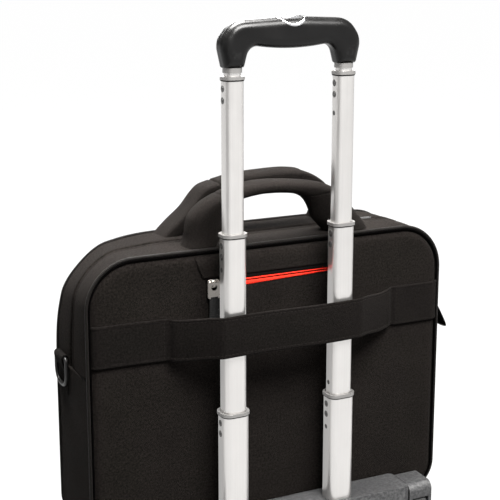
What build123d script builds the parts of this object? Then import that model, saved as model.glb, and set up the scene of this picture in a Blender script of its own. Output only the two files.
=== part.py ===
from build123d import *
import os

os.makedirs("parts", exist_ok=True)

# A soft laptop case that stands on a small wheeled trolley. A strap on its back slips over
# the trolley's two telescopic tubes. Millimetres, +Z up, the floor at z = 0, x across the
# case, and -y the side with the tubes. The origin is the middle of the footprint.

# Case
case_width = 432
case_height = 328
case_bottom = 27
case_depth = 110
case_top = case_bottom + case_height
top_corner = 52
bottom_corner = 34
back_y = -41
panel_thickness = 6
skin = 3
piping_radius = 2.7
fabric_gap = 0.2

# Zip of the main compartment. It ends half way down each side, above the one-piece base.
zip_start = 50
zip_width = 8
zip_end = case_top - 126
slider_size = (14, 9, 4)
pull_size = (26, 7, 1.6)
pull_eye = 1.2
main_slider_x = 118

# Pockets and divider
pocket_width = 340
pocket_height = 220
pocket_thickness = 21.5
pocket_bottom = 60
divider_thickness = 8
divider_start = 40
divider_height = 250
rear_zip_half = 86
rear_zip_drop = 36
rear_zip_height = 13
rear_zip_thickness = 1.6
rear_slider_x = -76
rear_pull_length = 40

# Strap that slips over the tubes
strap_height = 45
strap_drop = 107
strap_thickness = 2
strap_stand = 45
strap_flat = 94
strap_foot = 142
strap_bend = 14

# Carry handles: how far each stands behind the other, and its outline seen from the back as
# x, height above the case and bend radius. Both are soft and lean a little towards +x.
handle_band = 36
handle_pivot_rise = 20
handle_offsets = {"back": 22, "front": 88}
handle_outlines = {
    "back": (
        (-103, 0, 1),
        (-105, 38, 16),
        (-62, 59, 90),
        (-2, 67, 250),
        (68, 57, 70),
        (102, 33, 25),
        (121, 0, 1),
        (76, 0, 1),
        (55, 22, 18),
        (49, 50, 18),
        (0, 52.5, 300),
        (-49, 50, 18),
        (-54, 22, 18),
        (-66, 0, 1),
    ),
    "front": (
        (-104, 0, 1),
        (-52, 50, 30),
        (-10, 61, 60),
        (58, 64, 60),
        (96, 54, 25),
        (112, 32, 20),
        (106, 0, 1),
        (90, 0, 1),
        (96, 28, 14),
        (82, 42, 10),
        (52, 49, 40),
        (-8, 47, 40),
        (-44, 38, 20),
        (-88, 0, 1),
    ),
}

# Side rings for a shoulder strap
ring_wire = 2
ring_half_width = 18
ring_drop = 32
ring_shoulder = 4
ring_corner = 15
ring_offset = 80
ring_top = case_top - 120
tab_half_width = 14
tab_plate = 2.2
tab_loop = 4.6
tab_drop = 42
ring_x = case_width / 2 + tab_loop + fabric_gap
ring_clearance = 0.3

# Telescopic tubes: across, front to back, corner radius
tube_x = 65
tube_y = back_y - 29
wall = 1.1
outer_size = (30.5, 25, 9)
middle_size = (26, 21.5, 8)
upper_size = (22, 18, 7)
neck_size = (17, 14.5, 6)
outer_bottom = 22
outer_top = case_top - 175
middle_bottom = outer_top - 40
middle_top = case_top + 20
upper_bottom = middle_top - 40
upper_top = case_top + 183
neck_bottom = upper_top - 130
grip_bottom = case_top + 195
slide_gap = 0.3
collar_height = 3.4
collar_lip = 1.3
collar_sleeve = 14
bush_height = 12
bush_head = 3
rivet_radius = 3.3
rivet_proud = 0.1
rivet_drops = (9, 21)
pin_radius = 2.6
ferrule_height = 5
ferrule_lip = 1.2

# Grip. The right half of its outline, as x, height above the tubes, and bend radius:
# the underside from the middle out to a leg, then the leg and the crown back to the middle.
grip_under = ((0, 15.5, 250), (48.5, 22, 12), (54.5, 0, 1))
grip_over = ((76, 0, 1), (82, 26, 22), (67, 47, 25), (0, 50, 400))
grip_depth = 26
grip_edge = 10
grip_wall = 4
core_depth = 9
spigot_size = (9, 9, 3)
spigot_length = 16
well_depth = 12
bezel_proud = 0.3
button_half = (13, 5.6)
bezel_half = (17, 8.6)
button_travel = 2.5
button_proud = 1.2

# Trolley base
tray_top = 24
tray_thickness = 7
tray_half_width = 176
tray_front = 74
tray_corner = 36
rim_width = 3
rim_height = 9
mat_margin = 14
beam_front = back_y - 6
beam_back = -88
beam_top = 58
wheel_radius = 24.5
wheel_width = 20
wheel_gap = 3
dish_depth = 5
housing_bottom = 12
bolt_head = 2.5
wheel_x = 168
wheel_y = -66
tyre_thickness = 6
axle_radius = 3
axle_clearance = 0.05
cheek = 4
cheek_gap = 1
screw_radius = 2
foot_radius = 13
foot_x = 150
foot_y = 58


def save(part, name):
    """Label a finished part and write it as one STEP file."""
    part.label = name
    export_step(part, f"parts/{name}.step")


def case_outline(y, inset):
    """The case's outline, drawn in by inset, on the plane at y."""
    with BuildSketch(Plane.XZ.offset(-y)) as outline:
        with Locations((0, case_bottom + case_height / 2)):
            Rectangle(case_width - 2 * inset, case_height - 2 * inset)
        fillet(outline.vertices().group_by(Axis.Y)[-1], radius=top_corner - inset)
        fillet(outline.vertices().group_by(Axis.Y)[0], radius=bottom_corner - inset)
    return outline.sketch


def tube_profile(xs, z, size, grow, bore=None):
    """The section of the tubes at xs, on the plane at z, grown outwards, with a bore if stated."""
    across, deep, corner = size
    with BuildSketch(Plane.XY.offset(z)) as profile:
        with Locations(*[(x, tube_y) for x in xs]):
            RectangleRounded(across + 2 * grow, deep + 2 * grow, corner + grow)
            if bore is not None:
                hole_size = (across + 2 * bore, deep + 2 * bore)
                RectangleRounded(*hole_size, corner + bore, mode=Mode.SUBTRACT)
    return profile.sketch


def side_name(x):
    """The side that a position across the case is on."""
    return "left" if x < 0 else "right"


sides = (-1, 1)

# ---------------------------------------------------------------- case shell
front_y = back_y + case_depth

with BuildPart() as back_panel:
    extrude(case_outline(back_y + panel_thickness, skin + fabric_gap), amount=panel_thickness)
save(back_panel.part, "back_panel")

with BuildPart() as front_panel:
    extrude(case_outline(front_y, skin + fabric_gap), amount=panel_thickness)
save(front_panel.part, "front_panel")

# Above zip_end the side wall is two bands with the zip between them; below it is one piece.
rear_band_start = back_y + 2 * piping_radius + fabric_gap
front_band_end = front_y - 2 * piping_radius - fabric_gap
zip_back = back_y + zip_start
zip_front = zip_back + zip_width
wall_pieces = (
    ("gusset_rear", rear_band_start, zip_back, 0, skin, Keep.TOP),
    ("main_zip", zip_back + fabric_gap, zip_front - fabric_gap, fabric_gap, skin - 1, Keep.TOP),
    ("gusset_front", zip_front, front_band_end, 0, skin, Keep.TOP),
    ("gusset_base", rear_band_start, front_band_end, 0, skin, Keep.BOTTOM),
)
for wall_name, start, end, outer_inset, inner_inset, kept in wall_pieces:
    with BuildPart() as band:
        extrude(case_outline(end, outer_inset), amount=end - start)
        extrude(case_outline(end, inner_inset), amount=end - start, mode=Mode.SUBTRACT)
        split(bisect_by=Plane.XY.offset(zip_end), keep=kept)
    save(band.part, wall_name)

for piping_name, piping_y in (
    ("back_piping", back_y + piping_radius),
    ("front_piping", front_y - piping_radius),
):
    edge_line = case_outline(piping_y, 0).wire()
    with BuildPart() as piping:
        with BuildSketch(Plane(origin=edge_line @ 0, z_dir=edge_line % 0)):
            Circle(piping_radius)
        sweep(path=edge_line)
    save(piping.part, piping_name)

# Padded wall between the laptop's space and the documents' space
divider_front = back_y + divider_start + divider_thickness
divider_bottom = case_bottom + skin + fabric_gap
with BuildPart() as laptop_divider:
    with BuildSketch(Plane.XZ.offset(-divider_front)):
        with Locations((0, divider_bottom + divider_height / 2)):
            Rectangle(case_width - 2 * (skin + 2), divider_height)
    extrude(amount=divider_thickness)
    fillet(laptop_divider.edges().filter_by(Axis.Y), radius=bottom_corner)
save(laptop_divider.part, "laptop_divider")

with BuildPart() as front_pocket:
    with BuildSketch(Plane.XZ.offset(-front_y - pocket_thickness)):
        with Locations((0, pocket_bottom + pocket_height / 2)):
            RectangleRounded(pocket_width, pocket_height, 28)
    extrude(amount=pocket_thickness - fabric_gap)
    fillet(front_pocket.faces().sort_by(Axis.Y)[-1].edges(), radius=10)
save(front_pocket.part, "front_pocket")

# ---------------------------------------------------------------- strap, handles and rings
strap_bottom = case_top - strap_drop
strap_mid_y = back_y - strap_stand
strap_foot_y = back_y - fabric_gap - strap_thickness / 2
strap_line = (
    (-case_width / 2 + skin, strap_foot_y),
    (-strap_foot, strap_foot_y),
    (-strap_flat, strap_mid_y),
    (strap_flat, strap_mid_y),
    (strap_foot, strap_foot_y),
    (case_width / 2 - skin, strap_foot_y),
)
with BuildPart() as trolley_strap:
    with BuildSketch(Plane.XY.offset(strap_bottom)):
        with BuildLine():
            FilletPolyline(strap_line, radius=strap_bend)
        trace(line_width=strap_thickness)
    extrude(amount=strap_height)
save(trolley_strap.part, "trolley_strap")

pivot_z = case_top + handle_pivot_rise
for handle_name, offset_y in handle_offsets.items():
    middle_y = back_y + offset_y
    corners = handle_outlines[handle_name]
    with BuildPart() as carry_handle:
        with BuildSketch(Plane.XZ.offset(-middle_y)):
            with BuildLine():
                points = [(x, case_top + rise) for x, rise, bend in corners]
                FilletPolyline(points, radius=[bend for x, rise, bend in corners], close=True)
            make_face()
        extrude(amount=handle_band / 2, both=True)
        # Round each foot about the line that the handle swings on.
        with BuildSketch(Plane.YZ.offset(-case_width / 2)):
            with Locations((middle_y, pivot_z)):
                Circle(handle_band / 2)
                Rectangle(handle_band, 3 * handle_band, align=(Align.CENTER, Align.MIN))
        extrude(amount=case_width, mode=Mode.INTERSECT)
    save(carry_handle.part, f"carry_handle_{handle_name}")

ring_y = back_y + ring_offset
with BuildPart() as ring_tabs:
    for side in sides:
        with Locations((side * ring_x, ring_y, ring_top)):
            Cylinder(tab_loop, 2 * tab_half_width, rotation=(90, 0, 0))
        with Locations((side * (case_width / 2 + fabric_gap + tab_plate / 2), ring_y, ring_top)):
            Box(tab_plate, 2 * tab_half_width, tab_drop, align=(Align.CENTER, Align.CENTER, Align.MAX))
    for side in sides:
        with Locations((side * ring_x, ring_y, ring_top)):
            Cylinder(ring_wire + ring_clearance, 2 * tab_half_width, rotation=(90, 0, 0), mode=Mode.SUBTRACT)
save(ring_tabs.part, "ring_tabs")

ring_line = (
    (ring_y - ring_half_width, ring_top),
    (ring_y - ring_half_width, ring_top - ring_drop),
    (ring_y + ring_half_width, ring_top - ring_drop),
    (ring_y + ring_half_width, ring_top),
)
ring_radii = (ring_shoulder, ring_corner, ring_corner, ring_shoulder)
for side in sides:
    with BuildPart() as d_ring:
        with BuildLine(Plane.YZ.offset(side * ring_x)) as ring_path:
            FilletPolyline(ring_line, radius=ring_radii, close=True)
        with BuildSketch(Plane(origin=ring_path.line @ 0, z_dir=ring_path.line % 0)):
            Circle(ring_wire)
        sweep(path=ring_path.line)
    save(d_ring.part, f"d_ring_{side_name(side)}")

# ---------------------------------------------------------------- zip sliders
rear_zip_z = case_top - rear_zip_drop
with BuildPart() as rear_zip:
    with BuildSketch(Plane.XZ.offset(-back_y)):
        with Locations((0, rear_zip_z)):
            RectangleRounded(2 * rear_zip_half, rear_zip_height, 3)
    extrude(amount=rear_zip_thickness)
save(rear_zip.part, "rear_zip")

slider_length, slider_width, slider_height = slider_size
pull_length, pull_width, pull_thickness = pull_size
eye_drop = 3

# The back pocket's slider, with its pull hanging down from an eye on its lower edge
rear_slider_y = back_y - rear_zip_thickness - fabric_gap - slider_height / 2
rear_eye_z = rear_zip_z - slider_width / 2 - eye_drop
with BuildPart() as rear_slider:
    with Locations((rear_slider_x, rear_slider_y, rear_zip_z)):
        Box(slider_length, slider_height, slider_width)
    fillet(rear_slider.edges().filter_by(Axis.Y), radius=2.5)
    for side in sides:
        with Locations((rear_slider_x + side * 4.5, rear_slider_y, rear_eye_z)):
            Box(2, 2.4, 2 * eye_drop, align=(Align.CENTER, Align.CENTER, Align.MIN))
    with Locations((rear_slider_x, rear_slider_y, rear_eye_z)):
        Cylinder(pull_eye, 11, rotation=(0, 90, 0))
save(rear_slider.part, "rear_slider")

with BuildPart() as rear_pull:
    with Locations((rear_slider_x, rear_slider_y, rear_eye_z)):
        Cylinder(pull_eye + 1.2, pull_width, rotation=(0, 90, 0))
        Box(pull_width, pull_thickness, rear_pull_length, align=(Align.CENTER, Align.CENTER, Align.MAX))
        Cylinder(pull_eye + ring_clearance, pull_width, rotation=(0, 90, 0), mode=Mode.SUBTRACT)
save(rear_pull.part, "rear_pull")

# The main slider, on the straight top run, with its pull lying flat towards +x
main_slider_y = (zip_back + zip_front) / 2
main_slider_z = case_top + fabric_gap + slider_height / 2
main_eye_x = main_slider_x + slider_length / 2 + eye_drop
with BuildPart() as main_slider:
    with Locations((main_slider_x, main_slider_y, main_slider_z)):
        Box(slider_length, slider_width, slider_height)
    fillet(main_slider.edges().filter_by(Axis.Z), radius=2.5)
    for side in sides:
        with Locations((main_eye_x, main_slider_y + side * 4.5, main_slider_z)):
            Box(2 * eye_drop, 2, 2.4, align=(Align.MAX, Align.CENTER, Align.CENTER))
    with Locations((main_eye_x, main_slider_y, main_slider_z)):
        Cylinder(pull_eye, 11, rotation=(90, 0, 0))
save(main_slider.part, "main_slider")

with BuildPart() as main_pull:
    with Locations((main_eye_x, main_slider_y, main_slider_z)):
        Cylinder(pull_eye + 0.8, pull_width, rotation=(90, 0, 0))
        Box(pull_length, pull_width, pull_thickness, align=(Align.MIN, Align.CENTER, Align.CENTER))
        Cylinder(pull_eye + ring_clearance, pull_width, rotation=(90, 0, 0), mode=Mode.SUBTRACT)
save(main_pull.part, "main_pull")

# ---------------------------------------------------------------- telescopic tubes
both = (-tube_x, tube_x)

# Each stage: name, section, lower end, upper end, the section outside it and the one inside.
stages = (
    ("outer", outer_size, outer_bottom, outer_top, None, middle_size),
    ("middle", middle_size, middle_bottom, middle_top, outer_size, upper_size),
    ("upper", upper_size, upper_bottom, upper_top, middle_size, neck_size),
    ("neck", neck_size, neck_bottom, grip_bottom, upper_size, None),
)
# Lock holes in the left face of a tube: stage, side and height.
lock_holes = (
    ("outer", 1, case_top - 211),
    ("middle", -1, case_top - 15),
    ("middle", 1, case_top - 159),
    ("upper", 1, case_top + 142),
)

for stage, size, bottom, top, around, inside in stages:
    # Cross holes as (x, z) of the middle of each: rivets go right through a tube, and a
    # lock pin only through its left wall.
    reach = size[0]
    rivets = [(x, top - drop) for x in both for drop in rivet_drops] if inside else []
    pins = [(side * tube_x - reach, z) for name, side, z in lock_holes if name == stage]
    for x in both:
        with BuildPart() as tube:
            extrude(tube_profile([x], bottom, size, 0, -wall), amount=top - bottom)
            for spots, radius in ((rivets, rivet_radius), (pins, pin_radius)):
                near = [(a, tube_y, z) for a, z in spots if abs(a - x) <= reach]
                if near:
                    with Locations(*near):
                        Cylinder(radius, 2 * reach, rotation=(0, 90, 0), mode=Mode.SUBTRACT)
        save(tube.part, f"{stage}_tube_{side_name(x)}")

    # Rivets and lock pins fill those holes and follow the tube's rounded face.
    for spots, radius, proud, kind in (
        (rivets, rivet_radius, rivet_proud, "rivets"),
        (pins, pin_radius, 0, "lock_pins"),
    ):
        if spots:
            with BuildPart() as plugs:
                with Locations(*[(x, tube_y, z) for x, z in spots]):
                    Cylinder(radius, 2 * reach, rotation=(0, 90, 0))
                shell = tube_profile(both, bottom, size, proud, -wall)
                extrude(shell, amount=top - bottom, mode=Mode.INTERSECT)
            save(plugs.part, f"{stage}_{kind}")

    # A ring on the tube's mouth, with a sleeve below it that guides the next stage.
    if inside:
        with BuildPart() as collars:
            extrude(tube_profile(both, top, size, collar_lip), amount=collar_height)
            extrude(tube_profile(both, top, size, -wall), amount=-collar_sleeve)
            throat = tube_profile(both, top - collar_sleeve, inside, slide_gap)
            extrude(throat, amount=collar_sleeve + collar_height, mode=Mode.SUBTRACT)
        save(collars.part, f"{stage}_collars")

    # A plug in the tube's lower end, with a head that runs inside the stage around it.
    if around:
        with BuildPart() as bushes:
            extrude(tube_profile(both, bottom, around, -wall - slide_gap), amount=-bush_head)
            extrude(tube_profile(both, bottom, size, -wall), amount=bush_height)
        save(bushes.part, f"{stage}_bushes")

# ---------------------------------------------------------------- grip
ferrule_bottom = grip_bottom - ferrule_height
with BuildPart() as ferrules:
    extrude(tube_profile(both, ferrule_bottom, neck_size, ferrule_lip, 0), amount=ferrule_height)
save(ferrules.part, "ferrules")


def grip_face(inset):
    """The grip's outline seen from the front, drawn in by inset, on its middle plane."""
    right = (*grip_under, *grip_over)
    left = [(-x, z, bend) for x, z, bend in reversed(right[1:-1])]
    corners = (*right, *left)
    with BuildSketch(Plane.XZ.offset(-tube_y)) as face:
        with BuildLine():
            points = [(x, grip_bottom + z) for x, z, bend in corners]
            FilletPolyline(points, radius=[bend for x, z, bend in corners], close=True)
        make_face()
        if inset:
            offset(amount=-inset)
    return face.sketch


def button_oval(z, half_size, grow):
    """An oval at the middle of the grip, on the plane at z."""
    with BuildSketch(Plane.XY.offset(z)) as oval:
        with Locations((0, tube_y)):
            Ellipse(half_size[0] + grow, half_size[1] + grow)
    return oval.sketch


crown_z = grip_face(0).bounding_box().max.Z
well_z = crown_z - well_depth
spigot_hole = tube_profile(both, grip_bottom, spigot_size, fabric_gap)
for shell_name, kept in (("grip_front", Keep.TOP), ("grip_rear", Keep.BOTTOM)):
    with BuildPart() as grip_shell:
        extrude(grip_face(0), amount=grip_depth / 2, both=True)
        fillet(grip_shell.faces().filter_by(Axis.Y).edges(), radius=grip_edge)
        hollow = grip_depth / 2 - grip_wall
        extrude(grip_face(grip_wall), amount=hollow, both=True, mode=Mode.SUBTRACT)
        extrude(spigot_hole, amount=2 * grip_wall, mode=Mode.SUBTRACT)
        extrude(button_oval(well_z, bezel_half, 0), amount=2 * well_depth, mode=Mode.SUBTRACT)
        split(bisect_by=Plane.XZ.offset(-tube_y), keep=kept)
    save(grip_shell.part, shell_name)

# A stiff frame inside the shells, with a spigot down into each neck tube
plug = tube_profile(both, grip_bottom, neck_size, -wall - axle_clearance)
with BuildPart() as grip_core:
    extrude(grip_face(grip_wall + fabric_gap), amount=core_depth / 2, both=True)
    extrude(tube_profile(both, grip_bottom, spigot_size, 0), amount=2 * grip_wall)
    extrude(plug, amount=-spigot_length)
    extrude(button_oval(well_z, bezel_half, 0), amount=2 * well_depth, mode=Mode.SUBTRACT)
save(grip_core.part, "grip_core")

with BuildPart() as button_bezel:
    bezel_oval = button_oval(well_z, bezel_half, -axle_clearance)
    extrude(bezel_oval, amount=well_depth + bezel_proud)
    fillet(button_bezel.edges().group_by(Axis.Z)[-1], radius=0.5)
    throat = button_oval(well_z, button_half, slide_gap)
    extrude(throat, amount=2 * well_depth, mode=Mode.SUBTRACT)
save(button_bezel.part, "button_bezel")

button_z = well_z + button_travel + 0.5
with BuildPart() as release_button:
    extrude(button_oval(button_z, button_half, 0), amount=crown_z + button_proud - button_z)
    fillet(release_button.edges().group_by(Axis.Z)[-1], radius=0.8)
save(release_button.part, "release_button")

# ---------------------------------------------------------------- trolley base
beam_end = wheel_x - wheel_width / 2 - cheek_gap - cheek - fabric_gap
beam_depth = beam_front - beam_back
beam_y = (beam_front + beam_back) / 2
beam_bottom = outer_bottom - 8
wheel_places = [(side * wheel_x, wheel_y, wheel_radius) for side in sides]
screw_places = [(x, beam_back, z) for x in both for z in (34, 48)]


def tray_outline(z, inset):
    """The plate under the case, with its front corners rounded, drawn in by inset."""
    with BuildSketch(Plane.XY.offset(z)) as plate:
        with Locations((0, beam_front)):
            across = 2 * (tray_half_width - inset)
            Rectangle(across, tray_front - inset - beam_front, align=(Align.CENTER, Align.MIN))
        fillet(plate.vertices().group_by(Axis.Y)[-1], radius=tray_corner - inset)
    return plate.sketch


# One moulding: the plate with a low rim at the front, and a hollow beam with two sockets
with BuildPart() as base_tray:
    extrude(tray_outline(tray_top - tray_thickness, 0), amount=tray_thickness)
    with Locations((0, tray_front, tray_top)):
        rim_size = (2 * (tray_half_width - tray_corner), rim_width, rim_height)
        Box(*rim_size, align=(Align.CENTER, Align.MAX, Align.MIN))
    with BuildSketch(Plane.XY.offset(beam_bottom)):
        with Locations((0, beam_y)):
            RectangleRounded(2 * beam_end, beam_depth, 5)
    extrude(amount=beam_top - beam_bottom)
    with BuildSketch(Plane.XY.offset(beam_bottom)):
        with Locations((0, beam_y)):
            Rectangle(2 * (beam_end - cheek), beam_depth - 2 * cheek)
    extrude(amount=beam_top - cheek - beam_bottom, mode=Mode.SUBTRACT)
    extrude(tube_profile(both, beam_bottom, outer_size, cheek), amount=beam_top - beam_bottom)
    socket = tube_profile(both, outer_bottom, outer_size, axle_clearance)
    extrude(socket, amount=beam_top, mode=Mode.SUBTRACT)
    with Locations(*wheel_places):
        well_width = 2 * (wheel_x - beam_end)
        well_radius = wheel_radius + wheel_gap
        Cylinder(well_radius, well_width, rotation=(0, 90, 0), mode=Mode.SUBTRACT)
    with Locations(*screw_places):
        Cylinder(screw_radius + axle_clearance, 11, rotation=(90, 0, 0), mode=Mode.SUBTRACT)
save(base_tray.part, "base_tray")

with BuildPart() as tray_mat:
    extrude(tray_outline(tray_top, mat_margin), amount=case_bottom - tray_top - fabric_gap)
    with Locations((0, back_y + 2 * piping_radius + 1, tray_top)):
        mat_cut = (2 * case_width, case_depth, 2 * tray_top)
        Box(*mat_cut, align=(Align.CENTER, Align.MAX, Align.CENTER), mode=Mode.SUBTRACT)
save(tray_mat.part, "tray_mat")

with BuildPart() as base_screws:
    with Locations(*screw_places):
        Cylinder(screw_radius, 5, rotation=(90, 0, 0), align=(Align.CENTER, Align.CENTER, Align.MAX))
        Cylinder(2 * screw_radius, 1.4, rotation=(90, 0, 0), align=(Align.CENTER, Align.CENTER, Align.MIN))
save(base_screws.part, "base_screws")

with BuildPart() as front_feet:
    with Locations(*[(side * foot_x, foot_y, 0) for side in sides]):
        foot_align = (Align.CENTER, Align.CENTER, Align.MIN)
        Cylinder(foot_radius, tray_top - tray_thickness, align=foot_align)
    fillet(front_feet.edges().group_by(Axis.Z)[0], radius=2)
save(front_feet.part, "front_feet")

housing_width = wheel_width + 2 * (cheek_gap + cheek)
for x in (-wheel_x, wheel_x):
    with BuildPart() as housing:
        with BuildSketch(Plane.XY.offset(housing_bottom)):
            with Locations((x, beam_y)):
                Rectangle(housing_width, beam_depth)
        extrude(amount=beam_top - housing_bottom)
        fillet(housing.edges().filter_by(Axis.X), radius=9)
        with Locations((x, wheel_y, wheel_radius)):
            well_width = wheel_width + 2 * cheek_gap
            Cylinder(well_radius, well_width, rotation=(0, 90, 0), mode=Mode.SUBTRACT)
            bore = axle_radius + axle_clearance
            Cylinder(bore, housing_width, rotation=(0, 90, 0), mode=Mode.SUBTRACT)
    save(housing.part, f"wheel_housing_{side_name(x)}")

    with BuildPart() as wheel:
        with Locations((x, wheel_y, wheel_radius)):
            Cylinder(wheel_radius - tyre_thickness, wheel_width - 1, rotation=(0, 90, 0))
            Cylinder(bore, wheel_width, rotation=(0, 90, 0), mode=Mode.SUBTRACT)
        for side in sides:
            dish_x = x + side * (wheel_width / 2 - 0.5 - dish_depth / 2)
            with BuildSketch(Plane.YZ.offset(dish_x - dish_depth / 2)):
                with Locations((wheel_y, wheel_radius)):
                    Circle(wheel_radius - tyre_thickness - 3)
                    Circle(2.3 * axle_radius, mode=Mode.SUBTRACT)
            extrude(amount=dish_depth, mode=Mode.SUBTRACT)
    save(wheel.part, f"wheel_{side_name(x)}")

    with BuildPart() as tyre:
        with Locations((x, wheel_y, wheel_radius)):
            Cylinder(wheel_radius, wheel_width, rotation=(0, 90, 0))
        fillet(tyre.edges(), radius=4)
        with Locations((x, wheel_y, wheel_radius)):
            inside_radius = wheel_radius - tyre_thickness + axle_clearance
            Cylinder(inside_radius, wheel_width, rotation=(0, 90, 0), mode=Mode.SUBTRACT)
    save(tyre.part, f"tyre_{side_name(x)}")

with BuildPart() as wheel_bolts:
    with Locations(*wheel_places):
        Cylinder(axle_radius, housing_width, rotation=(0, 90, 0))
    for side in sides:
        head_x = side * (wheel_x + housing_width / 2 + bolt_head / 2)
        with Locations((head_x, wheel_y, wheel_radius)):
            Cylinder(2 * axle_radius, bolt_head, rotation=(0, 90, 0))
save(wheel_bolts.part, "wheel_bolts")
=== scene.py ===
import math

import bmesh
import bpy
import numpy as np
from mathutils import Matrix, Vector, noise


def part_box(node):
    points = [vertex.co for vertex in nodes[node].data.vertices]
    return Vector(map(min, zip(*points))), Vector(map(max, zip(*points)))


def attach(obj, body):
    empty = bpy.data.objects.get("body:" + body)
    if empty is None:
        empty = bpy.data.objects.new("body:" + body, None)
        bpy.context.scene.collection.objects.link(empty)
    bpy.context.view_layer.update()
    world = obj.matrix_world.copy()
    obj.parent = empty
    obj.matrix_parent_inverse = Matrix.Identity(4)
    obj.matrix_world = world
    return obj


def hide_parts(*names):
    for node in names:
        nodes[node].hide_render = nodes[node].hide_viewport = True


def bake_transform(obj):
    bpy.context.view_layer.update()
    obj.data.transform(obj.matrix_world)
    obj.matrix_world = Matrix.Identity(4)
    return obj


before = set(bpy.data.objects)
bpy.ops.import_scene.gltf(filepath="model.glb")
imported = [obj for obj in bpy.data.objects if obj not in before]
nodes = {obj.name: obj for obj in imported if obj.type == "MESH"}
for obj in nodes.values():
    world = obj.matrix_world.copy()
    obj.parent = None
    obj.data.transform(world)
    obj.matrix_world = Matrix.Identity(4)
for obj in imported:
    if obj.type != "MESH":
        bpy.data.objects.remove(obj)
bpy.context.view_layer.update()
scene = bpy.context.scene
MM = 0.001
WHITE = (1, 1, 1, 1)


def low(name):
    return np.array(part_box(name)[0])


def high(name):
    return np.array(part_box(name)[1])


def centre_of(name):
    return (low(name) + high(name)) / 2


# ---------------------------------------------------------------- materials
def shader(name, colour, rough, metallic=0.0, **sockets):
    """A material with one Principled shader, and its tree."""
    mat = bpy.data.materials.new(name)
    mat.use_nodes = True
    tree = mat.node_tree
    bsdf = tree.nodes["Principled BSDF"]
    bsdf.inputs["Base Color"].default_value = (*colour, 1)
    bsdf.inputs["Roughness"].default_value = rough
    bsdf.inputs["Metallic"].default_value = metallic
    for key, value in sockets.items():
        bsdf.inputs[key.replace("_", " ")].default_value = value
    return mat, tree, bsdf


def node(tree, kind, **settings):
    made = tree.nodes.new(kind)
    for key, value in settings.items():
        if hasattr(made, key):
            setattr(made, key, value)
        else:
            made.inputs[key.replace("_", " ")].default_value = value
    return made


def calc(tree, operation, *values):
    """A Math node on values that are numbers or sockets."""
    made = tree.nodes.new("ShaderNodeMath")
    made.operation = operation
    for socket, value in zip(made.inputs, values):
        if isinstance(value, (int, float)):
            socket.default_value = value
        else:
            tree.links.new(value, socket)
    return made.outputs[0]


def noise_at(tree, vector, scale, detail=3.0, rough=0.55):
    made = node(tree, "ShaderNodeTexNoise", Scale=scale, Detail=detail, Roughness=rough)
    tree.links.new(vector, made.inputs["Vector"])
    return made.outputs["Fac"]


def remap(tree, value, a, b, c, d):
    made = node(tree, "ShaderNodeMapRange")
    for key, number in zip(("From Min", "From Max", "To Min", "To Max"), (a, b, c, d)):
        made.inputs[key].default_value = number
    tree.links.new(value, made.inputs["Value"])
    return made.outputs["Result"]


def two_tone(tree, fac, dark, light):
    made = node(tree, "ShaderNodeMix", data_type="RGBA")
    # The colour sockets of a Mix node share names with its number sockets.
    for socket in made.inputs:
        if socket.type == "RGBA" and socket.name in "AB":
            socket.default_value = (*(dark if socket.name == "A" else light), 1)
    tree.links.new(fac, made.inputs["Factor"])
    return next(o for o in made.outputs if o.type == "RGBA")


def dressed(tree, bsdf, tone, dark, light, gloss, rough, spread, height, relief):
    """Links the sockets tone to the colour, gloss to the roughness and height to the bump."""
    tree.links.new(two_tone(tree, tone, dark, light), bsdf.inputs["Base Color"])
    ends = max(0.03, rough - spread), min(1, rough + spread)
    tree.links.new(remap(tree, gloss, 0.3, 0.7, *ends), bsdf.inputs["Roughness"])
    bump = node(tree, "ShaderNodeBump", Strength=1.0, Distance=relief)
    tree.links.new(height, bump.inputs["Height"])
    tree.links.new(bump.outputs["Normal"], bsdf.inputs["Normal"])


def cloth(name, colour, pitch, relief, rib=False, contrast=0.55, sheen=0.010, gloss=0.012, rough=0.8):
    """Woven cloth on a piece's cloth coordinates, which are metres along and across it."""
    mat, tree, bsdf = shader(name, colour, rough, Sheen_Weight=sheen, Sheen_Roughness=0.45,
                             Sheen_Tint=(1.0, 0.93, 0.88, 1), Specular_IOR_Level=gloss)
    uv = node(tree, "ShaderNodeUVMap", uv_map="cloth").outputs["UV"]
    split = node(tree, "ShaderNodeSeparateXYZ")
    tree.links.new(uv, split.inputs[0])
    # The threads wander by about a third of their pitch.
    shift = remap(tree, noise_at(tree, uv, 160.0, 1.0, 0.5), 0, 1, -0.35 * pitch, 0.35 * pitch)
    turn = 2 * math.pi / pitch
    warp, weft = (
        calc(tree, "SINE", calc(tree, "MULTIPLY", calc(tree, "ADD", split.outputs[axis], shift), speed))
        for axis, speed in (("X", turn), ("Y", turn * (0.5 if rib else 1))))
    thread = calc(tree, "MULTIPLY", warp, weft)
    if rib:
        thread = calc(tree, "MULTIPLY_ADD", calc(tree, "ABSOLUTE", weft), 1.4, thread)
    fine = noise_at(tree, uv, 900.0, 2.0)
    grain = noise_at(tree, uv, 420.0, 2.0)
    patch = noise_at(tree, uv, 28.0, 4.0, 0.6)
    speckle = calc(tree, "MULTIPLY_ADD", grain, 0.55, calc(tree, "MULTIPLY", fine, 0.35))
    tone = calc(tree, "MULTIPLY_ADD", patch, 0.14, calc(tree, "MULTIPLY_ADD", thread, 0.05, speckle))
    dark = tuple(c * (1 - contrast) for c in colour)
    light = tuple(min(1, c * (1 + contrast) + 0.0003) for c in colour)
    dressed(tree, bsdf, remap(tree, tone, 0.40, 0.64, 0, 1), dark, light, patch, rough, 0.08,
            calc(tree, "MULTIPLY_ADD", fine, 0.6, thread), relief)
    return mat


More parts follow.
